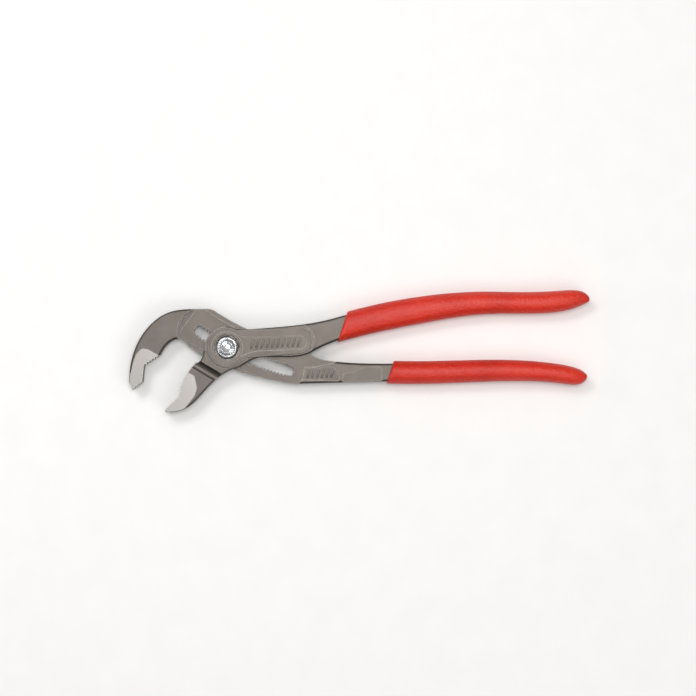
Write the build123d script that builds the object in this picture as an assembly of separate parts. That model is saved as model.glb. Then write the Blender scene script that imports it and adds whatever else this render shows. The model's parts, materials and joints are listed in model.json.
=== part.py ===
"""Tongue and groove pliers, 250 mm size, lying on their rear cheek with the push button up.

The outlines are drawn in millimetres from the pivot axis: X runs towards the handles, Y from the lower
to the upper handle and Z through the thickness. Each finished piece is then moved by PIVOT, which puts
the origin at the centre of the footprint, on the plane that the pliers lie on.
"""
from build123d import *
import math
import os

# frame
PIVOT = (-71.95, 1.95)

# thickness, measured up from the rear face
BOX_THICKNESS = 14.0
WINDOW = (4.0, 10.0)
TONGUE = (4.1, 9.9)
JAW = (2.0, 12.0)
SHANK = (3.0, 11.0)
PAD_HEIGHT = 0.8
MID = BOX_THICKNESS / 2

# adjustment: the slot and its teeth follow arcs about one centre
SLOT_RADIUS = 155.7
REST_ANGLE = 27.0
PITCH_ANGLE = 0.70
POSITIONS = 25
REST_POSITION = 8
SLOT_ANGLES = (12.75, 34.55)
SLOT_TIP = 2.5
TOOTH_HEIGHT = 0.8
TONGUE_RADII = (142.0, 165.7)
PANEL_RADII = (144.2, 163.4)
HEEL_START = (0.966, -0.259)
ARC_CENTRE = (
    SLOT_RADIUS * math.sin(math.radians(REST_ANGLE)),
    SLOT_RADIUS * math.cos(math.radians(REST_ANGLE)),
)
TOOTH_LAYER = 7.05

# bolt and button
BLOCK = (7.15, 9.95)
BLOCK_HALF_LENGTH = 4.4
TOOTH_GAP = 0.15
FRONT_SHANK_R = 2.3
REAR_SHANK_R = 3.2
REAR_SHANK_END = 3.15
RUNNING_GAP = 0.05
BUTTON_R = 5.6
BUTTON_BASE = 15.1
BUTTON_RIM = 16.0
BUTTON_TOP = 17.1
BOLT_TOP = 15.9
COUNTERBORE_R = 7.2
COUNTERBORE_FLOOR = 11.0
COLLAR_R = 8.6
COLLAR_HEIGHT = 0.5
BUSH_R = 6.4
BUSH = (0.3, 4.0)
SEAT_THICKNESS = 0.3
WIRE_R = 0.35
SPRING_RADII = (6.5, 4.0)
SPRING_TURNS = 2.5

# opening
OPEN_LIMIT = 25.0
CLEARANCE = 0.3

# gripping edges of the jaws
UPPER_EDGE = ((-36.6, -4.2), (-45.3, -9.9))
UPPER_NOSE = ((-46.2, -18.9), (-51.4, -23.1))
BOX_EDGE = ((-21.6, -13.9), (-24.5, -19.6), (-26.1, -26.4))
BOX_NOSE = (-34.2, -34.1)
TOOTH_DEPTH = 0.6

# valley between the lower jaw and the box
VALLEY = Pos(-10.8, -13.4) * Rot(0, 0, -30.8)

# grips
GRIP_THICKNESS = 12.6
GRIP_SECTIONS = 16
GRIP_ROUNDING = 0.38
LOWER_GRIP_TOP = (
    (90.4, -7.2), (121.0, -7.1), (152.0, -6.7), (172.0, -7.9), (186.0, -10.1), (192.6, -12.4), (195.9, -15.2),
)
LOWER_GRIP_FOOT = (
    (86.4, -19.7), (118.0, -19.5), (146.0, -18.5), (166.0, -18.4), (182.0, -19.7), (190.8, -20.0), (195.4, -17.2),
)
UPPER_GRIP_TOP = (
    (65.3, 19.6), (84.7, 24.3), (111.0, 28.6), (140.0, 30.5),
    (168.0, 30.3), (184.0, 31.2), (192.4, 30.6), (197.2, 27.0),
)
UPPER_GRIP_FOOT = (
    (59.7, 2.7), (81.6, 8.3), (107.3, 13.4), (138.3, 18.0),
    (168.3, 18.5), (182.0, 19.7), (191.6, 22.4), (197.0, 25.0),
)


def arc_point(radius, angle):
    """A point on the adjustment arcs, the angle counted from straight below their centre."""
    turn = math.radians(angle)
    return (ARC_CENTRE[0] - radius * math.sin(turn), ARC_CENTRE[1] - radius * math.cos(turn))


def position_angle(position):
    """Angle of the pivot at one of the tooth positions, 0 being the smallest jaw opening."""
    return REST_ANGLE + (REST_POSITION - position) * PITCH_ANGLE


def slab(face, levels):
    """The face as a solid between two heights."""
    return Pos(0, 0, levels[0]) * extrude(face, amount=levels[1] - levels[0], dir=(0, 0, 1))


def disc(radius, levels, at=(0, 0)):
    return slab(Pos(at[0], at[1]) * Circle(radius), levels)


def arc_band(radii, angles):
    """The face between two adjustment arcs and two angles."""
    inner, outer = radii
    low, high = angles
    mid = (low + high) / 2
    edges = [
        ThreePointArc(arc_point(inner, low), arc_point(inner, mid), arc_point(inner, high)),
        Line(arc_point(inner, high), arc_point(outer, high)),
        ThreePointArc(arc_point(outer, high), arc_point(outer, mid), arc_point(outer, low)),
        Line(arc_point(outer, low), arc_point(inner, low)),
    ]
    return make_face(edges)


def toothed_edge(tip, root, angles):
    """A run of trapezoid teeth along an adjustment arc, in step with the tooth positions."""
    points = []
    first = math.ceil((angles[0] - REST_ANGLE) / PITCH_ANGLE)
    last = math.floor((angles[1] - REST_ANGLE) / PITCH_ANGLE)
    for step in range(first, last + 1):
        centre = REST_ANGLE + step * PITCH_ANGLE
        for part, radius in ((-0.42, root), (-0.14, tip), (0.14, tip), (0.42, root)):
            points.append(arc_point(radius, centre + part * PITCH_ANGLE))
    return points


def toothed_band(half_tip, half_root, angles):
    """The face between two toothed arcs either side of the slot's centre line."""
    upper = toothed_edge(SLOT_RADIUS - half_tip, SLOT_RADIUS - half_root, angles)
    lower = toothed_edge(SLOT_RADIUS + half_tip, SLOT_RADIUS + half_root, angles)
    return make_face(Polyline(*upper, *reversed(lower), close=True).edges())


def slot_cutter():
    """The slot: toothed in the front layer, plain and wider behind it, with rounded ends."""
    low, high = SLOT_ANGLES
    root = SLOT_TIP + TOOTH_HEIGHT
    wide = root + TOOTH_GAP
    plain = fillet(arc_band((SLOT_RADIUS - wide, SLOT_RADIUS + wide), (low, high)).vertices(), 1.5)
    cut = slab(plain, (TONGUE[0] - 1, TOOTH_LAYER))
    cut += slab(toothed_band(SLOT_TIP, root, (low + 1.0, high)), (TOOTH_LAYER - 1, TONGUE[1] + 1))
    ends = arc_band((SLOT_RADIUS - SLOT_TIP, SLOT_RADIUS + SLOT_TIP), (low, high))
    cut += slab(fillet(ends.vertices(), 2.2), (TOOTH_LAYER - 1, TONGUE[1] + 1))
    return cut


def slotted_outline():
    """Outline of the leg with the upper jaw, the slotted tongue and the lower shank."""
    throat = arc_point(TONGUE_RADII[1], 33.6)
    heel = arc_point(TONGUE_RADII[0], 15.0)
    shoulder = arc_point(TONGUE_RADII[0], 32.6)
    edges = [
        Spline((-53.3, -18.5), (-51.9, -6.0), (-42.6, 11.6), (-31.0, 19.4), (-19.0, 20.9), (-10.6, 21.1)),
        Spline((-10.6, 21.1), (-8.4, 20.6), shoulder),
        ThreePointArc(shoulder, arc_point(TONGUE_RADII[0], 24.0), heel),
        Spline(heel, (44.3, -3.5), (50.0, -6.1), (58.0, -7.6), (89.5, -8.8), tangents=(HEEL_START, (1, 0))),
        Spline((89.5, -8.8), (120.0, -9.2), (150.0, -9.2), (175.0, -11.2), (185.0, -13.4)),
        Line((185.0, -13.4), (184.6, -16.8)),
        Spline((184.6, -16.8), (175.0, -17.0), (150.0, -16.4), (112.0, -17.6), (86.0, -18.5)),
        Line((86.0, -18.5), (42.0, -19.6)),
        Spline((42.0, -19.6), (34.0, -19.5), (28.4, -18.5), (3.4, -12.0), (-9.0, -6.2), throat),
        Spline(throat, (-27.6, 4.6), (-31.4, 2.8), (-34.6, -0.6), UPPER_EDGE[0]),
        Line(*UPPER_EDGE),
        Line(UPPER_EDGE[1], UPPER_NOSE[0]),
        Line(*UPPER_NOSE),
        Line(UPPER_NOSE[1], (-53.3, -18.5)),
    ]
    return make_face(edges)


def box_outline():
    """Outline of the leg with the lower jaw, the slide box and the upper shank."""
    edges = [
        ThreePointArc((0.5, 11.4), (-9.5, 7.0), (-12.2, 0.0)),
        Spline((-12.2, 0.0), (-13.2, -4.4), (-14.6, -7.2), (-17.3, -8.4)),
        Line((-17.3, -8.4), BOX_EDGE[0]),
        Line(*BOX_EDGE[:2]),
        Line(*BOX_EDGE[1:]),
        Line(BOX_EDGE[2], BOX_NOSE),
        Line(BOX_NOSE, (-33.4, -35.0)),
        Spline((-33.4, -35.0), (-29.6, -35.0), (-22.6, -33.0), (-13.7, -25.0), (-5.3, -16.6), (3.0, -11.7)),
        Spline((3.0, -11.7), (6.8, -10.4), (13.3, -6.6), (24.7, -5.0), (41.4, -4.1), (47.2, -1.6)),
        Spline((47.2, -1.6), (58.9, 3.5), (81.6, 10.2), (126.5, 18.4), (165.0, 21.0), (186.0, 24.8)),
        Line((186.0, 24.8), (185.4, 28.2)),
        Spline((185.4, 28.2), (170.0, 27.8), (140.0, 28.0), (110.0, 26.2), (84.7, 22.2), (63.1, 17.4)),
        Spline((63.1, 17.4), (44.7, 13.1), (16.0, 10.2), (8.0, 9.9), (0.5, 11.4)),
    ]
    return make_face(edges)


def pad_face():
    """The raised keyhole on each cheek: a boss round the bolt and a tapered band with a round end."""
    band = make_face(Polyline((0, 9.2), (38.2, 10.9), (39.2, -3.4), (0, -6.6), close=True).edges())
    return Circle(11.0) + band + Pos(38.6, 3.75) * Circle(7.2)


def name_plate():
    """The sunk plate on each cheek, which runs from the collar to a round end."""
    upper = [(0, 7.6), (8.6, 5.7), (16.0, 5.5), (39.5, 6.5)]
    lower = [(39.5, -0.8), (17.0, -1.8), (12.0, -2.9), (0, -7.6)]
    sides = upper + lower
    return Polygon(*sides, align=None) + Pos(39.5, 2.85) * Circle(3.65) - Circle(COLLAR_R)


def beyond_valley():
    """The half plane on the jaw's side of the valley across the lower leg."""
    return VALLEY * Pos(0, -30) * Rectangle(120, 60)


def half_plane(x, side):
    """Everything on one side of an X coordinate, side being 1 towards the handles."""
    return Pos(x + side * 150, 0) * Rectangle(300, 200)


def rounded_slab(face, levels, radius, shortest=0.0):
    """A slab with the curved edges of its upper and lower rims rounded."""
    solid = slab(face, levels)
    rims = solid.faces().filter_by(Axis.Z).edges()
    curved = [edge for edge in rims if edge.geom_type == GeomType.BSPLINE and edge.length > shortest]
    return fillet(curved, radius)


def grip_teeth(start, end, count):
    """A row of V notches, spread evenly along a gripping edge, to take out of an outline."""
    start = Vector(*start)
    end = Vector(*end)
    pitch = (end - start).length / count
    along = math.degrees(math.atan2(end.Y - start.Y, end.X - start.X))
    diamond = [(-pitch / 2, 0), (0, -TOOTH_DEPTH), (pitch / 2, 0), (0, TOOTH_DEPTH)]
    notches = []
    for number in range(count):
        at = start + (end - start) * ((number + 0.5) / count)
        notches.append(Pos(at.X, at.Y) * Rot(0, 0, along) * Polygon(*diamond, align=None))
    return notches


def both_faces(solid):
    """A cut made in the front face, and the same one mirrored in the rear face."""
    return [solid, mirror(solid, Plane.XY.offset(MID))]


def long_panel(points, radius, levels):
    """A shallow recess with rounded corners."""
    return slab(fillet(Polygon(*points, align=None).vertices(), radius), levels)


def slotted_leg():
    """Upper jaw, slotted tongue and lower shank, forged in one piece."""
    outline = slotted_outline() - grip_teeth(*UPPER_EDGE, 6) - grip_teeth(*UPPER_NOSE, 5)
    first = arc_point(SLOT_RADIUS, position_angle(0))
    last = arc_point(SLOT_RADIUS, position_angle(POSITIONS - 1))
    jaw = rounded_slab(outline & half_plane(-14, -1), JAW, 1.2) - disc(14.2, JAW, first)
    shank = rounded_slab(outline & half_plane(34, 1), SHANK, 1.2) - disc(13.6, SHANK, last)
    relief = [(33, 4), (33, -10.8), (47, -10.6), (58, -8.4), (66, -5), (60, 4)]
    shank -= slab(Polygon(*relief, align=None), SHANK)
    heel_web = Pos(52, -6) * Rectangle(14.4, 12)
    tongue = slab(outline & ((half_plane(-30, 1) & half_plane(48, -1)) + heel_web), TONGUE)
    leg = tongue + jaw + shank
    leg -= slot_cutter()
    border = Pos(*first) * Circle(14.0) + arc_band((TONGUE_RADII[0] - 4, TONGUE_RADII[1] + 6), (14, 31))
    border -= fillet(arc_band(PANEL_RADII, (9, 36.6)).vertices(), 3.0)
    leg -= both_faces(slab(border, (TONGUE[1] - 0.5, TONGUE[1] + 0.6)))
    ground = [(-58, -17), (-52.4, -14), (-51.0, -8), (-49.4, -3.6), (-46.4, -0.4), (-43.2, -0.8), (-34, -6)]
    ground += [(-43, -28), (-58, -28)]
    leg -= both_faces(long_panel(ground, 1.2, (JAW[1] - 0.3, JAW[1] + 1)))
    plate = [(36.6, -17.4), (38.6, -11.6), (57.4, -10.5), (60.6, -14.6), (61.2, -18.3)]
    leg -= both_faces(long_panel(plate, 1.6, (SHANK[1] - 0.5, SHANK[1] + 1)))
    reach = [(62.4, -24.0), (62.8, -14.4), (68.0, -13.4), (76.0, -10.4), (84.0, -10.4), (84.0, -24.0)]
    leg -= both_faces(long_panel(reach, 1.4, (SHANK[1] - 0.5, SHANK[1] + 1)))
    return leg


def window():
    """The opening through the box that the tongue slides in, with room to swing."""
    radii = (TONGUE_RADII[0] - CLEARANCE, TONGUE_RADII[1] + CLEARANCE)
    band = slab(arc_band(radii, (REST_ANGLE - 32, REST_ANGLE + 32)), WINDOW)
    return [Rot(0, 0, -OPEN_LIMIT * share / 3) * band for share in range(4)]


def box_leg():
    """Lower jaw, slide box with its two cheeks, and upper shank, forged in one piece."""
    outline = box_outline()
    for start, end, count in ((*BOX_EDGE[:2], 4), (*BOX_EDGE[1:], 4), (BOX_EDGE[2], BOX_NOSE, 7)):
        outline -= grip_teeth(start, end, count)
    cheek = (outline - beyond_valley()) & (half_plane(38.2, -1) + Pos(38.2, 3.8) * Circle(9.2))
    leg = rounded_slab(cheek, (PAD_HEIGHT, BOX_THICKNESS - PAD_HEIGHT), 0.8, 6.0)
    leg += rounded_slab(outline & beyond_valley(), JAW, 1.0)
    leg += rounded_slab(outline & half_plane(40, 1), SHANK, 1.2)
    pad = slab(pad_face(), (0, BOX_THICKNESS))
    leg += fillet(pad.faces().filter_by(Axis.Z).edges(), 0.3)
    leg += disc(COLLAR_R, (MID, BOX_THICKNESS + COLLAR_HEIGHT))
    groove = VALLEY * Pos(0, 0, BOX_THICKNESS + 1.3) * Rot(0, 90, 0) * Cylinder(4.0, 60)
    leg -= both_faces(groove)
    leg -= window()
    flare = [(11.0, -8.5), (11.9, -1.3), (19.0, -2.3), (30.0, -2.3), (39.5, -3.7), (39.5, -8.0)]
    leg -= slab(Polygon(*flare, align=None), (SHANK[0] - CLEARANCE, SHANK[1] + CLEARANCE))
    leg -= disc(COUNTERBORE_R, (COUNTERBORE_FLOOR, BOX_THICKNESS + 1))
    leg -= disc(FRONT_SHANK_R + RUNNING_GAP, (WINDOW[1] - 1, COUNTERBORE_FLOOR + 1))
    leg -= disc(BUSH_R, (-1, WINDOW[0] + 1))
    leg -= both_faces(slab(name_plate(), (BOX_THICKNESS - 0.5, BOX_THICKNESS + 1)))
    ground = [(-24, -12), (-17.8, -15.4), (-16.4, -21.9), (-17.8, -26.2), (-27, -38), (-40, -40), (-36, -20)]
    leg -= both_faces(long_panel(ground, 1.2, (JAW[1] - 0.3, JAW[1] + 1)))
    return leg


def toothed_bolt():
    """Pivot bolt: a toothed block that locks in the slot, with a shank either side."""
    half_turn = math.degrees(BLOCK_HALF_LENGTH / SLOT_RADIUS)
    ends = arc_band((SLOT_RADIUS - 8, SLOT_RADIUS + 8), (REST_ANGLE - half_turn, REST_ANGLE + half_turn))
    root = SLOT_TIP - TOOTH_GAP
    teeth = toothed_band(root, root + TOOTH_HEIGHT, (REST_ANGLE - 3, REST_ANGLE + 3))
    bolt = slab(teeth & ends, BLOCK)
    bolt += disc(FRONT_SHANK_R, (REAR_SHANK_END, BOLT_TOP))
    bolt += disc(REAR_SHANK_R, (REAR_SHANK_END, TOOTH_LAYER - RUNNING_GAP))
    return chamfer(bolt.faces().sort_by(Axis.Z)[0].edges(), 0.4)


def push_button():
    """Domed cap pressed on the front end of the bolt."""
    rise = BUTTON_TOP - BUTTON_RIM
    dome_radius = (BUTTON_R**2 + rise**2) / (2 * rise)
    dome = Pos(0, 0, BUTTON_TOP - dome_radius) * Sphere(dome_radius)
    cap = disc(BUTTON_R, (BUTTON_BASE, BUTTON_TOP)) & dome
    return cap - disc(FRONT_SHANK_R, (BUTTON_BASE - 1, BOLT_TOP))


def button_spring():
    """Conical return spring, which nests flat when the button is pressed."""
    low = COUNTERBORE_FLOOR + SEAT_THICKNESS + WIRE_R
    high = BUTTON_BASE - WIRE_R
    bottom, top = SPRING_RADII
    path = Helix(
        pitch=(high - low) / SPRING_TURNS,
        height=high - low,
        radius=bottom,
        cone_angle=-math.degrees(math.atan2(bottom - top, high - low)),
    )
    path = Pos(0, 0, low) * path
    section = Plane(origin=path @ 0, z_dir=path % 0) * Circle(WIRE_R)
    return sweep(section, path=path)


def spring_seat():
    """Thin washer at the bottom of the counterbore."""
    levels = (COUNTERBORE_FLOOR, COUNTERBORE_FLOOR + SEAT_THICKNESS)
    return disc(COUNTERBORE_R - 0.1, levels) - disc(FRONT_SHANK_R + 0.3, levels)


def rear_bush():
    """Bush pressed into the rear cheek once the bolt is in."""
    return disc(BUSH_R, BUSH) - disc(REAR_SHANK_R + RUNNING_GAP, BUSH)


def grip(top_rim, foot_rim, outline):
    """Dipped plastic sleeve lofted between its two rims, with the shank's room inside."""
    upper = Spline(*top_rim)
    lower = Spline(*foot_rim)
    sections = []
    for number in range(GRIP_SECTIONS):
        share = number / (GRIP_SECTIONS - 1)
        top = upper @ share
        bottom = lower @ share
        across = top - bottom
        middle = (top + bottom) / 2
        place = Plane(
            origin=(middle.X, middle.Y, MID),
            x_dir=(across.X, across.Y, 0),
            z_dir=(across.Y, -across.X, 0),
        )
        taper = min(1.0, math.sqrt(0.16 + 9.0 * (1.0 - share)))
        height = across.length
        thickness = GRIP_THICKNESS * taper
        corner = GRIP_ROUNDING * min(height, thickness)
        sections.append(place * RectangleRounded(height, thickness, corner))
    return loft(sections) - slab(outline & half_plane(50, 1), SHANK)


def main():
    os.makedirs("parts", exist_ok=True)
    pieces = {
        "slotted_leg": slotted_leg(),
        "box_leg": box_leg(),
        "toothed_bolt": toothed_bolt(),
        "push_button": push_button(),
        "button_spring": button_spring(),
        "spring_seat": spring_seat(),
        "rear_bush": rear_bush(),
        "lower_grip": grip(LOWER_GRIP_TOP, LOWER_GRIP_FOOT, slotted_outline()),
        "upper_grip": grip(UPPER_GRIP_TOP, UPPER_GRIP_FOOT, box_outline()),
    }
    for name, piece in pieces.items():
        export_step(Pos(*PIVOT, 0) * piece, f"parts/{name}.step")
    print("adjustment centre", ARC_CENTRE[0] + PIVOT[0], ARC_CENTRE[1] + PIVOT[1])


main()
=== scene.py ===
import json
import math

import bpy
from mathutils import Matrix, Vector


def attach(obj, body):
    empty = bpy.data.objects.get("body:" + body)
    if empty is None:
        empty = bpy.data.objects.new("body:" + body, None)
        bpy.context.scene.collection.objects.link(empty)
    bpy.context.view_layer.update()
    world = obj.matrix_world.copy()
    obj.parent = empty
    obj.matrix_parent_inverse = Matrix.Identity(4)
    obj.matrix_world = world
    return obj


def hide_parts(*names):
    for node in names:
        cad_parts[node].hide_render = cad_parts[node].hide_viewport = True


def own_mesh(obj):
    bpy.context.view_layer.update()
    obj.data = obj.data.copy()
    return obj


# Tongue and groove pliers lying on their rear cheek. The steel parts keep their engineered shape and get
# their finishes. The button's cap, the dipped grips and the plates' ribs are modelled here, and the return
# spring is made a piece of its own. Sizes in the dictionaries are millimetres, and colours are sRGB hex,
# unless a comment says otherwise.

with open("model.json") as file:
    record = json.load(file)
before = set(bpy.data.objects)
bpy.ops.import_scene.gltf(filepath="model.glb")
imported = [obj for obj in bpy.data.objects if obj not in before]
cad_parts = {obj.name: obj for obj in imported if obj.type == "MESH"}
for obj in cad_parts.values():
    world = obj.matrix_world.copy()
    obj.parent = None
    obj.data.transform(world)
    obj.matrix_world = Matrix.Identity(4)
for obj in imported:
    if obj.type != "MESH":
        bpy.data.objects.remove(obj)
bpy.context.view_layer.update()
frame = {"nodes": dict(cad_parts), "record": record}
joints = {joint["name"]: joint for joint in frame["record"]["behaviour"]["joints"]}
pivot = Vector(joints["open"]["pos_m"])
mm = 0.001


def hexColour(code):
    # sRGB hex to the linear values that Blender's sockets take
    shares = [int(code[place : place + 2], 16) / 255 for place in (1, 3, 5)]
    linear = [share / 12.92 if share <= 0.04045 else ((share + 0.055) / 1.055) ** 2.4 for share in shares]
    return (*linear, 1.0)


def addNode(tree, kind, values=None, links=None, **settings):
    node = tree.nodes.new(kind)
    for name, value in settings.items():
        setattr(node, name, value)
    for socket, value in (values or {}).items():
        node.inputs[socket].default_value = value
    for socket, source in (links or {}).items():
        tree.links.new(source, node.inputs[socket])
    return node


def startMaterial(name, **constants):
    material = bpy.data.materials.new(name)
    material.use_nodes = True
    tree = material.node_tree
    tree.nodes.clear()
    shader = addNode(tree, "ShaderNodeBsdfPrincipled")
    for socket, value in constants.items():
        shader.inputs[socket.replace("_", " ")].default_value = value
    addNode(tree, "ShaderNodeOutputMaterial", links={"Surface": shader.outputs["BSDF"]})
    at = addNode(tree, "ShaderNodeTexCoord").outputs["Object"]
    return material, tree, shader, at


def selectOnly(piece):
    bpy.ops.object.select_all(action="DESELECT")
    piece.select_set(True)
    bpy.context.view_layer.objects.active = piece


def copyNode(node, name):
    # a node's own mesh as a new piece: its loose triangles are merged and its surface made one
    piece = frame["nodes"][node].copy()
    piece.data = piece.data.copy()
    piece.name = name
    bpy.context.scene.collection.objects.link(piece)
    piece.data.materials.clear()
    selectOnly(piece)
    bpy.ops.object.mode_set(mode="EDIT")
    bpy.ops.mesh.select_all(action="SELECT")
    bpy.ops.mesh.remove_doubles(threshold=0.002 * mm)
    bpy.ops.mesh.customdata_custom_splitnormals_clear()
    bpy.ops.object.mode_set(mode="OBJECT")
    return piece


def applyModifiers(piece):
    selectOnly(piece)
    for modifier in list(piece.modifiers):
        bpy.ops.object.modifier_apply(modifier=modifier.name)


forging = {
    "colour": "#605A55",
    "shadeColour": "#4C4742",
    "groundColour": "#7E7B78",
    # light edge colour: partly rubbed wear, partly a painted highlight along the edges
    "rubbedHighlightColour": "#D8D1C8",
    "metallic": 0.85,
    "roughness": 0.42,
    "roughnessDrift": (-0.06, 0.08),
    "groundRoughness": 0.34,
    "cloudsPerMetre": 110.0,
    "grainSize": 0.5,  # the blasted skin, drawn a little coarser than it is so that it shows
    "grindingPitch": 0.3,  # between grinding lines, drawn coarser than it is
    "grindingStretch": 0.03,  # the pattern's scale along a line, as a share of its scale across
    "grindingTurn": 35,  # degrees
    "reliefStrength": 0.35,
    "reliefDepth": 0.05,
    "edgeRadius": 0.25,
    "rubbedHighlightWidth": 0.6,  # of the rubbed edge and its painted highlight, drawn wider than it is so that it shows
    "rubbedHighlightCosines": (0.985, 0.86),  # of the normals' angle where the rubbing and its painted highlight start and where they are full
    "rubbedHighlightShare": 0.4,  # of the light edge colour at its fullest: rubbed wear and a painted highlight
    "middle": 7.0,  # height of the middle of the thickness
    "groundLevel": 4.7,  # from that middle to the ground side faces of the jaws
    "groundTolerance": 0.06,
    "groundFlatness": 0.98,  # smallest upright share of a ground face's normal
}


def makeForgedSteel():
    # Drop-forged tool steel, grit-blasted and then phosphated: a warm grey satin skin with a fine dull grain
    # and edges rubbed light, with a painted highlight along them. The jaws' side faces are ground bright
    # after hardening.
    material, tree, shader, at = startMaterial("forgedSteelPhosphated", Metallic=forging["metallic"])
    clouds = addNode(
        tree, "ShaderNodeTexNoise", {"Scale": forging["cloudsPerMetre"], "Detail": 3.0}, {"Vector": at}
    )
    grain = addNode(
        tree, "ShaderNodeTexNoise", {"Scale": 1 / (forging["grainSize"] * mm), "Detail": 2.0}, {"Vector": at}
    )
    skin = addNode(
        tree,
        "ShaderNodeMix",
        {"A": hexColour(forging["colour"]), "B": hexColour(forging["shadeColour"])},
        {"Factor": clouds.outputs["Fac"]},
        data_type="RGBA",
    )
    # rubbed edges, with their painted highlight, are where a broadly rounded normal differs from the face's
    # own
    rounded = addNode(tree, "ShaderNodeBevel", {"Radius": forging["edgeRadius"] * mm}, samples=4)
    broadHighlightBevel = addNode(tree, "ShaderNodeBevel", {"Radius": forging["rubbedHighlightWidth"] * mm}, samples=4)
    face = addNode(tree, "ShaderNodeNewGeometry")
    same = addNode(
        tree,
        "ShaderNodeVectorMath",
        links={0: broadHighlightBevel.outputs["Normal"], 1: face.outputs["True Normal"]},
        operation="DOT_PRODUCT",
    )
    started, full = forging["rubbedHighlightCosines"]
    rubbedHighlightMask = addNode(
        tree,
        "ShaderNodeMapRange",
        {"From Min": started, "From Max": full, "To Min": 0.0, "To Max": forging["rubbedHighlightShare"]},
        {"Value": same.outputs["Value"]},
    )
    # flat side faces of the jaws, found by their height
    parts = addNode(tree, "ShaderNodeSeparateXYZ", links={"Vector": at})
    height = addNode(
        tree,
        "ShaderNodeMath",
        {1: forging["middle"] * mm},
        {0: parts.outputs["Z"]},
        operation="SUBTRACT",
    )
    depth = addNode(tree, "ShaderNodeMath", links={0: height.outputs[0]}, operation="ABSOLUTE")
    level = addNode(
        tree,
        "ShaderNodeMath",
        {1: forging["groundLevel"] * mm, 2: forging["groundTolerance"] * mm},
        {0: depth.outputs[0]},
        operation="COMPARE",
    )
    facing = addNode(tree, "ShaderNodeSeparateXYZ", links={"Vector": face.outputs["True Normal"]})
    upright = addNode(tree, "ShaderNodeMath", links={0: facing.outputs["Z"]}, operation="ABSOLUTE")
    flat = addNode(
        tree,
        "ShaderNodeMath",
        {1: forging["groundFlatness"]},
        {0: upright.outputs[0]},
        operation="GREATER_THAN",
    )
    ground = addNode(
        tree, "ShaderNodeMath", links={0: level.outputs[0], 1: flat.outputs[0]}, operation="MULTIPLY"
    )
    # grinding lines run along Y. The turn comes after the stretch, so it doesn't change their direction and
    # only picks the part of the pattern that shows.
    turned = addNode(
        tree,
        "ShaderNodeMapping",
        {
            "Rotation": (0.0, 0.0, math.radians(forging["grindingTurn"])),
            "Scale": (1.0, forging["grindingStretch"], 1.0),
        },
        {"Vector": at},
    )
    lines = addNode(
        tree,
        "ShaderNodeTexNoise",
        {"Scale": 1 / (forging["grindingPitch"] * mm), "Detail": 2.0},
        {"Vector": turned.outputs["Vector"]},
    )
    withGround = addNode(
        tree,
        "ShaderNodeMix",
        {"B": hexColour(forging["groundColour"])},
        {"Factor": ground.outputs[0], "A": skin.outputs["Result"]},
        data_type="RGBA",
    )
    # the edges are lightened: rubbed wear and a painted highlight
    withRubbedHighlights = addNode(
        tree,
        "ShaderNodeMix",
        {"B": hexColour(forging["rubbedHighlightColour"])},
        {"Factor": rubbedHighlightMask.outputs["Result"], "A": withGround.outputs["Result"]},
        data_type="RGBA",
    )
    tree.links.new(withRubbedHighlights.outputs["Result"], shader.inputs["Base Color"])
    smoother, rougher = forging["roughnessDrift"]
    skinRoughness = addNode(
        tree,
        "ShaderNodeMapRange",
        {
            "From Min": 0.3,
            "From Max": 0.7,
            "To Min": forging["roughness"] + smoother,
            "To Max": forging["roughness"] + rougher,
        },
        {"Value": grain.outputs["Fac"]},
    )
    roughness = addNode(
        tree,
        "ShaderNodeMix",
        {"B": forging["groundRoughness"]},
        {"Factor": ground.outputs[0], "A": skinRoughness.outputs["Result"]},
        data_type="FLOAT",
    )
    tree.links.new(roughness.outputs["Result"], shader.inputs["Roughness"])
    relief = addNode(
        tree,
        "ShaderNodeMix",
        links={"Factor": ground.outputs[0], "A": grain.outputs["Fac"], "B": lines.outputs["Fac"]},
        data_type="FLOAT",
    )
    bump = addNode(
        tree,
        "ShaderNodeBump",
        {"Strength": forging["reliefStrength"], "Distance": forging["reliefDepth"] * mm},
        {"Height": relief.outputs["Result"], "Normal": rounded.outputs["Normal"]},
    )
    tree.links.new(bump.outputs["Normal"], shader.inputs["Normal"])
    return material


turning = {
    # the bolt steel is darkened partly as painted shade, because the spring seat at the bottom of the
    # button's counterbore wears it too
    "boltColour": "#5E5A56",
    "boltRoughness": 0.3,
    # the spring is darkened as painted shade inside the button's counterbore
    "springColour": "#807C78",
    "springRoughness": 0.24,
    "stainColour": "#4A4643",
    "stainsPerMetre": 400.0,
    "roughnessDrift": (-0.05, 0.1),
    "feedMark": 0.3553,  # between the lathe's feed marks, drawn coarser than they are
    "markStrength": 0.3,
    "markDepth": 0.02,
}


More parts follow.
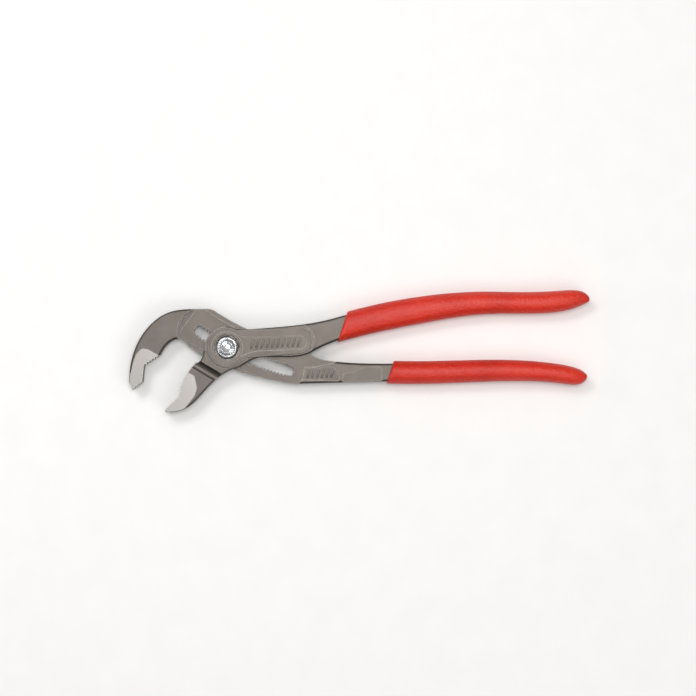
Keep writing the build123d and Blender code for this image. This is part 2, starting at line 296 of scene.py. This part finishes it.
def makeTurnedSteel(name, colour, roughness):
    # Plain carbon steel turned or drawn and oiled: smooth, fairly bright, with fine feed marks round the
    # bolt's axis.
    material, tree, shader, at = startMaterial(name, Metallic=1.0)
    centred = addNode(
        tree, "ShaderNodeMapping", {"Location": (-pivot.x, -pivot.y, 0.0)}, {"Vector": at}
    )
    # a ring pattern of scale 1 has 20 radians of its wave to the metre
    rings = addNode(
        tree,
        "ShaderNodeTexWave",
        {"Scale": math.tau / 20 / (turning["feedMark"] * mm), "Distortion": 1.5, "Detail": 2.0},
        {"Vector": centred.outputs["Vector"]},
        wave_type="RINGS",
        rings_direction="Z",
    )
    stain = addNode(
        tree, "ShaderNodeTexNoise", {"Scale": turning["stainsPerMetre"], "Detail": 3.0}, {"Vector": at}
    )
    tone = addNode(
        tree,
        "ShaderNodeMix",
        {"A": hexColour(colour), "B": hexColour(turning["stainColour"])},
        {"Factor": stain.outputs["Fac"]},
        data_type="RGBA",
    )
    tree.links.new(tone.outputs["Result"], shader.inputs["Base Color"])
    smoother, rougher = turning["roughnessDrift"]
    finish = addNode(
        tree,
        "ShaderNodeMapRange",
        {"To Min": roughness + smoother, "To Max": roughness + rougher},
        {"Value": stain.outputs["Fac"]},
    )
    tree.links.new(finish.outputs["Result"], shader.inputs["Roughness"])
    bump = addNode(
        tree,
        "ShaderNodeBump",
        {"Strength": turning["markStrength"], "Distance": turning["markDepth"] * mm},
        {"Height": rings.outputs["Fac"]},
    )
    tree.links.new(bump.outputs["Normal"], shader.inputs["Normal"])
    return material


capSizes = {
    "radius": 5.5,
    "bottom": 15.1,  # heights above the floor
    "rim": 16.0,
    "top": 17.05,
    "chamfer": 0.25,
    "flutes": 24,
    "cornersPerFlute": 8,
    "fluteDepth": 0.16,
    "fluteBand": (3.4, 4.6),  # radii that the flutes lie between
    "fluteFade": (3.3, 0.5),  # radius where they start to deepen, and over how far
    "edge": 0.05,
    "colour": "#CFD0D2",
    "roughness": 0.09,
    "roughnessDrift": (-0.04, 0.09),
    "wearPerMetre": 900.0,
    "wearStrength": 0.15,
    "wearDepth": 0.03,
}


def makeChrome():
    # Bright nickel-chrome plating over turned steel: a mirror with a slight haze and fine wear.
    material, tree, shader, at = startMaterial("chromePlatedSteel", Metallic=1.0)
    shader.inputs["Base Color"].default_value = hexColour(capSizes["colour"])
    wear = addNode(
        tree, "ShaderNodeTexNoise", {"Scale": capSizes["wearPerMetre"], "Detail": 4.0}, {"Vector": at}
    )
    smoother, rougher = capSizes["roughnessDrift"]
    haze = addNode(
        tree,
        "ShaderNodeMapRange",
        {"To Min": capSizes["roughness"] + smoother, "To Max": capSizes["roughness"] + rougher},
        {"Value": wear.outputs["Fac"]},
    )
    tree.links.new(haze.outputs["Result"], shader.inputs["Roughness"])
    bump = addNode(
        tree,
        "ShaderNodeBump",
        {"Strength": capSizes["wearStrength"], "Distance": capSizes["wearDepth"] * mm},
        {"Height": wear.outputs["Fac"]},
    )
    tree.links.new(bump.outputs["Normal"], shader.inputs["Normal"])
    return material


def turnCap(material):
    # turned from a disc: side, rim, groove, fluted slope, ring and a domed middle
    flutes = capSizes["flutes"]
    chamfer = capSizes["chamfer"]
    rise = capSizes["top"] - capSizes["rim"]
    bpy.ops.object.select_all(action="DESELECT")
    bpy.ops.mesh.primitive_circle_add(
        vertices=flutes * capSizes["cornersPerFlute"],
        radius=capSizes["radius"] * mm,
        fill_type="NGON",
        location=(pivot.x, pivot.y, capSizes["bottom"] * mm),
    )
    cap = bpy.context.active_object
    cap.name = "buttonCap"
    bpy.ops.object.transform_apply(location=True, rotation=True, scale=True)
    bpy.ops.object.mode_set(mode="EDIT")
    bpy.ops.mesh.select_mode(type="FACE")
    bpy.ops.mesh.select_all(action="SELECT")
    bpy.ops.mesh.extrude_region_move(
        TRANSFORM_OT_translate={"value": (0, 0, (capSizes["rim"] - capSizes["bottom"] - chamfer) * mm)}
    )
    # how far in and up each ring of faces lies from the one before
    steps = (
        (chamfer, chamfer),
        (0.35, 0.1),
        (0.2, -0.28),  # groove
        (0.15, 0.0),
        (0.1, 0.3),
        (1.2, 0.42 * rise),  # slope that the flutes are pressed into
        (0.3, 0.1),
        (0.15, -0.16),  # second groove
        (0.15, 0.16),
        (0.7, 0.22 * rise),
        (0.7, 0.1 * rise),
        (0.7, 0.04 * rise),
    )
    for inwards, up in steps:
        bpy.ops.mesh.inset(thickness=inwards * mm, depth=0.0)
        bpy.ops.transform.translate(value=(0, 0, up * mm))
    bpy.ops.mesh.poke()
    bpy.ops.object.mode_set(mode="OBJECT")
    # the flutes are a wave pressed into the slope's rings, with one flute to each turn of the cosine
    inner, outer = capSizes["fluteBand"]
    fadeStart, fadeLength = capSizes["fluteFade"]
    for vertex in cap.data.vertices:
        away = vertex.co - Vector((pivot.x, pivot.y, vertex.co.z))
        radius = away.length / mm
        if inner < radius < outer:
            wave = 0.5 - 0.5 * math.cos(math.atan2(away.y, away.x) * flutes)
            fade = min(1.0, (radius - fadeStart) / fadeLength)
            vertex.co.z -= capSizes["fluteDepth"] * mm * wave * fade
    bevel = cap.modifiers.new("softEdges", "BEVEL")
    bevel.width = capSizes["edge"] * mm
    bevel.segments = 2
    bevel.limit_method = "ANGLE"
    bevel.angle_limit = math.radians(28)
    applyModifiers(cap)
    bpy.ops.object.shade_smooth_by_angle(angle=math.radians(38))
    cap.data.materials.append(material)
    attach(cap, "bolt")
    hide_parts("push_button")


def windSpring(material):
    # the return spring's own wire, made a piece of its own that moves with the slide
    spring = copyNode("button_spring", "returnSpring")
    spring.data.materials.append(material)
    bpy.ops.object.shade_smooth_by_angle(angle=math.radians(60))
    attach(spring, "slide")
    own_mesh(spring)
    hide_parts("button_spring")


dipping = {
    "colour": "#D8301A",
    "deepColour": "#B4180E",
    "deepShare": 0.55,  # of the deeper red at its fullest
    "driftsPerMetre": 45.0,
    "roughness": 0.4,
    "roughnessDrift": (-0.06, 0.12),
    "specular": 0.34,
    "coat": 0.12,
    "coatRoughness": 0.3,
    "voxel": 0.55,
    "rounding": 10,  # rounds of smoothing
    "crown": 0.05,  # share that the middle of a grip's face stands proud
    "shoulder": 0.3,  # share that it falls away at its edges
    "shoulderPower": 2.4,  # how late that fall starts
    "waviness": 0.16,  # that the skin wanders as it dries
    "waveSize": 11.0,
    "grain": 1.2,  # across one bump of the leathery skin
    "grainHeight": 0.4,
    "fineGrains": 2.4,  # fine bumps across one leathery bump
    "fineShare": 0.55,
}


def makeDippedPlastic():
    # Dip-moulded soft PVC: saturated red right through that drifts to a deeper red, a satin gloss under a
    # thin shine, and a leathery grain left by the cure.
    material, tree, shader, at = startMaterial(
        "dippedSoftPvc",
        Metallic=0.0,
        Coat_Weight=dipping["coat"],
        Coat_Roughness=dipping["coatRoughness"],
        Specular_IOR_Level=dipping["specular"],
    )
    drift = addNode(
        tree, "ShaderNodeTexNoise", {"Scale": dipping["driftsPerMetre"], "Detail": 3.0}, {"Vector": at}
    )
    cells = addNode(
        tree,
        "ShaderNodeTexVoronoi",
        {"Scale": 1 / (dipping["grain"] * mm), "Smoothness": 0.6, "Randomness": 1.0},
        {"Vector": at},
        feature="SMOOTH_F1",
    )
    fine = addNode(
        tree,
        "ShaderNodeTexNoise",
        {"Scale": dipping["fineGrains"] / (dipping["grain"] * mm), "Detail": 2.0},
        {"Vector": at},
    )
    grain = addNode(
        tree,
        "ShaderNodeMath",
        {1: dipping["fineShare"]},
        {0: fine.outputs["Fac"]},
        operation="MULTIPLY",
    )
    leather = addNode(
        tree, "ShaderNodeMath", links={0: cells.outputs["Distance"], 1: grain.outputs[0]}, operation="ADD"
    )
    tone = addNode(
        tree,
        "ShaderNodeMapRange",
        {"From Min": 0.35, "From Max": 0.75, "To Min": 0.0, "To Max": dipping["deepShare"]},
        {"Value": drift.outputs["Fac"]},
    )
    red = addNode(
        tree,
        "ShaderNodeMix",
        {"A": hexColour(dipping["colour"]), "B": hexColour(dipping["deepColour"])},
        {"Factor": tone.outputs["Result"]},
        data_type="RGBA",
    )
    tree.links.new(red.outputs["Result"], shader.inputs["Base Color"])
    smoother, rougher = dipping["roughnessDrift"]
    gloss = addNode(
        tree,
        "ShaderNodeMapRange",
        {"To Min": dipping["roughness"] + smoother, "To Max": dipping["roughness"] + rougher},
        {"Value": drift.outputs["Fac"]},
    )
    tree.links.new(gloss.outputs["Result"], shader.inputs["Roughness"])
    bump = addNode(
        tree,
        "ShaderNodeBump",
        {"Strength": 1.0, "Distance": dipping["grainHeight"] * mm},
        {"Height": leather.outputs[0]},
    )
    tree.links.new(bump.outputs["Normal"], shader.inputs["Normal"])
    return material


def crownGrip(grip):
    # the section is crowned between the grip's two edges, which are measured in bands one millimetre long
    points = grip.data.vertices
    edges = {}
    for point in points:
        band = round(point.co.x / mm)
        low, high = edges.get(band, (1.0, -1.0))
        edges[band] = (min(low, point.co.y), max(high, point.co.y))
    middle = forging["middle"] * mm
    for point in points:
        place = point.co.x / mm
        before = math.floor(place)
        share = place - before
        nearest = edges[round(place)]
        lowBefore, highBefore = edges.get(before, nearest)
        lowAfter, highAfter = edges.get(before + 1, nearest)
        low = lowBefore * (1 - share) + lowAfter * share
        high = highBefore * (1 - share) + highAfter * share
        across = min(1.0, abs(2 * (point.co.y - low) / max(high - low, mm) - 1))
        swell = 1 + dipping["crown"] - dipping["shoulder"] * across ** dipping["shoulderPower"]
        point.co.z = middle + (point.co.z - middle) * swell


def dipGrip(name, node, body, material):
    grip = copyNode(node, name)
    skin = grip.modifiers.new("skin", "REMESH")
    skin.mode = "VOXEL"
    skin.voxel_size = dipping["voxel"] * mm
    soften = grip.modifiers.new("soften", "SMOOTH")
    soften.factor = 0.5
    soften.iterations = dipping["rounding"]
    wave = bpy.data.textures.new(name + "Waves", "CLOUDS")
    wave.noise_scale = dipping["waveSize"] * mm
    wave.noise_depth = 1
    wander = grip.modifiers.new("wander", "DISPLACE")
    wander.texture = wave
    wander.texture_coords = "LOCAL"
    wander.mid_level = 0.5
    wander.strength = dipping["waviness"] * mm
    applyModifiers(grip)
    crownGrip(grip)
    bpy.ops.object.shade_smooth()
    grip.data.materials.append(material)
    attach(grip, body)
    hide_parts(node)


# a plate's ends are measured from the pivot, and its levels are the heights of its two recesses
ribs = {
    "height": 0.42,  # above the recess
    "root": 0.1,  # below the recess
    "width": 1.15,
    "pitch": 2.6,
    "lean": 18,  # degrees
    "crest": (0.28, 0.1),  # how far in and up the top of a rib lies from its sides
    "edge": 0.16,
    "cheekPlate": {"from": (13.6, 1.7), "to": (39.0, 2.8), "length": 4.8, "levels": (13.5, 0.5)},
    "lowerPlate": {"from": (44.0, -14.7), "to": (57.0, -14.2), "length": 4.2, "levels": (10.5, 3.5)},
}


def raiseRibs(name, plate, body, material):
    # one rib is modelled and repeated along the plate, then the whole row again on the rear face
    start = Vector(plate["from"])
    run = Vector(plate["to"]) - start
    count = int(run.length / ribs["pitch"])
    step = run / count * mm
    front, rear = plate["levels"]
    crestIn, crestUp = ribs["crest"]
    bpy.ops.object.select_all(action="DESELECT")
    bpy.ops.mesh.primitive_plane_add(
        size=1.0,
        location=(pivot.x + start.x * mm, pivot.y + start.y * mm, (front - ribs["root"]) * mm),
        rotation=(0, 0, math.radians(-ribs["lean"])),
    )
    row = bpy.context.active_object
    row.name = name
    row.scale = (ribs["width"] * mm, plate["length"] * mm, 1.0)
    bpy.ops.object.transform_apply(location=True, rotation=True, scale=True)
    bpy.ops.object.mode_set(mode="EDIT")
    bpy.ops.mesh.select_mode(type="FACE")
    bpy.ops.mesh.select_all(action="SELECT")
    bpy.ops.mesh.extrude_region_move(TRANSFORM_OT_translate={"value": (0, 0, ribs["height"] * mm)})
    bpy.ops.mesh.inset(thickness=crestIn * mm, depth=0.0)
    bpy.ops.transform.translate(value=(0, 0, crestUp * mm))
    bpy.ops.mesh.select_all(action="SELECT")
    for repeat in range(count):
        bpy.ops.mesh.duplicate_move(TRANSFORM_OT_translate={"value": (step.x, step.y, 0)})
    bpy.ops.mesh.select_all(action="SELECT")
    bpy.ops.mesh.duplicate()
    middle = (front + rear) / 2 * mm
    bpy.ops.transform.mirror(
        constraint_axis=(False, False, True), center_override=(pivot.x, pivot.y, middle)
    )
    bpy.ops.mesh.select_all(action="SELECT")
    bpy.ops.mesh.remove_doubles(threshold=0.001 * mm)
    bpy.ops.mesh.normals_make_consistent(inside=False)
    bpy.ops.object.mode_set(mode="OBJECT")
    soft = row.modifiers.new("castEdges", "BEVEL")
    soft.width = ribs["edge"] * mm
    soft.segments = 3
    soft.limit_method = "ANGLE"
    applyModifiers(row)
    bpy.ops.object.shade_smooth_by_angle(angle=math.radians(50))
    row.data.materials.append(material)
    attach(row, body)


forgedSteel = makeForgedSteel()
boltSteel = makeTurnedSteel("turnedBoltSteel", turning["boltColour"], turning["boltRoughness"])
springSteel = makeTurnedSteel("drawnSpringSteel", turning["springColour"], turning["springRoughness"])
chrome = makeChrome()
dippedPlastic = makeDippedPlastic()
finishes = {
    "slotted_leg": forgedSteel,
    "box_leg": forgedSteel,
    "toothed_bolt": boltSteel,
    "rear_bush": boltSteel,
    # the spring seat wears the dark bolt steel: painted shade in the button's counterbore
    "spring_seat": boltSteel,
}
for node, material in finishes.items():
    for slot in frame["nodes"][node].material_slots:
        slot.material = material
print("finishes made")

turnCap(chrome)
windSpring(springSteel)
print("button cap turned and spring wound")

dipGrip("lowerDippedGrip", "lower_grip", "lower_handle", dippedPlastic)
dipGrip("upperDippedGrip", "upper_grip", "upper_handle", dippedPlastic)
print("grips dipped")

raiseRibs("cheekPlateRibs", ribs["cheekPlate"], "upper_handle", forgedSteel)
raiseRibs("lowerPlateRibs", ribs["lowerPlate"], "lower_handle", forgedSteel)
print("plate ribs raised")

studio = {
    "floorColour": "#F7F6F4",
    "fibreColour": "#F1F0EE",
    "fibresPerMetre": 60.0,
    "floorRoughness": 0.9,
    "floorSize": 6.0,  # metres
    "floorGap": 0.2,  # below the pliers, so that no two faces share a plane
    "skyColour": "#FFFFFF",
    "horizonColour": "#141312",
    "backdropColour": "#F4F3F1",
    "skyStrength": 0.62,
    "skyRamp": (0.25, 0.95),  # upward share of the direction where the sky starts and where it is full
    "cameraHeight": 1.2,  # metres
    "cameraAim": (-6.4, 1.7),
    "shownWidth": 379.0,
    "shownLevel": 8.0,  # height at which that width is seen
    "sensorWidth": 36.0,
}
# place and size in metres, power in watts
softboxes = {
    "overheadSoftbox": {"place": (0.05, 0.15, 1.5), "size": (0.45, 0.45), "power": 9.0},
    "keySoftbox": {"place": (-0.4, 0.5, 0.95), "size": (0.4, 0.3), "power": 3.2},
    "fillSoftbox": {"place": (0.6, -0.5, 0.9), "size": (0.5, 0.5), "power": 1.6},
    "stripSoftbox": {"place": (-0.8, 0.25, 0.4), "size": (0.9, 0.1), "power": 1.0},
}


def setStage():
    bpy.ops.object.select_all(action="DESELECT")
    bpy.ops.mesh.primitive_plane_add(size=studio["floorSize"], location=(0, 0, -studio["floorGap"] * mm))
    floor = bpy.context.active_object
    floor.name = "studioFloor"
    bpy.ops.object.transform_apply(location=True, rotation=True, scale=True)
    # matt painted board: even and pale, with a trace of its fibre
    material, tree, shader, at = startMaterial("paintedBoard", Roughness=studio["floorRoughness"])
    fibre = addNode(
        tree, "ShaderNodeTexNoise", {"Scale": studio["fibresPerMetre"], "Detail": 4.0}, {"Vector": at}
    )
    paint = addNode(
        tree,
        "ShaderNodeMix",
        {"A": hexColour(studio["floorColour"]), "B": hexColour(studio["fibreColour"])},
        {"Factor": fibre.outputs["Fac"]},
        data_type="RGBA",
    )
    tree.links.new(paint.outputs["Result"], shader.inputs["Base Color"])
    floor.data.materials.append(material)


def setSky():
    # a bright overhead scrim that falls off to a darker room, and a plain pale backdrop where it is seen
    world = bpy.data.worlds.new("studioRoom")
    bpy.context.scene.world = world
    world.use_nodes = True
    tree = world.node_tree
    tree.nodes.clear()
    look = addNode(tree, "ShaderNodeTexCoord")
    parts = addNode(tree, "ShaderNodeSeparateXYZ", links={"Vector": look.outputs["Generated"]})
    rampStart, rampEnd = studio["skyRamp"]
    ramp = addNode(
        tree,
        "ShaderNodeMapRange",
        {"From Min": rampStart, "From Max": rampEnd},
        {"Value": parts.outputs["Z"]},
        interpolation_type="SMOOTHSTEP",
    )
    tones = addNode(
        tree,
        "ShaderNodeMix",
        {"A": hexColour(studio["horizonColour"]), "B": hexColour(studio["skyColour"])},
        {"Factor": ramp.outputs["Result"]},
        data_type="RGBA",
    )
    room = addNode(
        tree, "ShaderNodeBackground", {"Strength": studio["skyStrength"]}, {"Color": tones.outputs["Result"]}
    )
    backdrop = addNode(
        tree, "ShaderNodeBackground", {"Color": hexColour(studio["backdropColour"]), "Strength": 1.0}
    )
    seen = addNode(tree, "ShaderNodeLightPath")
    both = addNode(
        tree,
        "ShaderNodeMixShader",
        links={0: seen.outputs["Is Camera Ray"], 1: room.outputs[0], 2: backdrop.outputs[0]},
    )
    addNode(tree, "ShaderNodeOutputWorld", links={"Surface": both.outputs[0]})


def addSoftbox(name, place, size, power):
    bpy.ops.object.light_add(type="AREA", location=place)
    light = bpy.context.active_object
    light.name = name
    light.data.shape = "RECTANGLE"
    light.data.size, light.data.size_y = size
    light.data.energy = power
    light.rotation_euler = (-Vector(place)).to_track_quat("-Z", "Y").to_euler()


setStage()
setSky()
for name, box in softboxes.items():
    addSoftbox(name, **box)

aimX, aimY = studio["cameraAim"]
bpy.ops.object.camera_add(location=(aimX * mm, aimY * mm, studio["cameraHeight"]), rotation=(0, 0, 0))
camera = bpy.context.active_object
distance = studio["cameraHeight"] - studio["shownLevel"] * mm
camera.data.sensor_width = studio["sensorWidth"]
camera.data.lens = studio["sensorWidth"] * distance / (studio["shownWidth"] * mm)
camera.data.clip_start = 0.01
bpy.context.scene.camera = camera
bpy.context.scene.view_settings.view_transform = "Standard"

print("stage set")
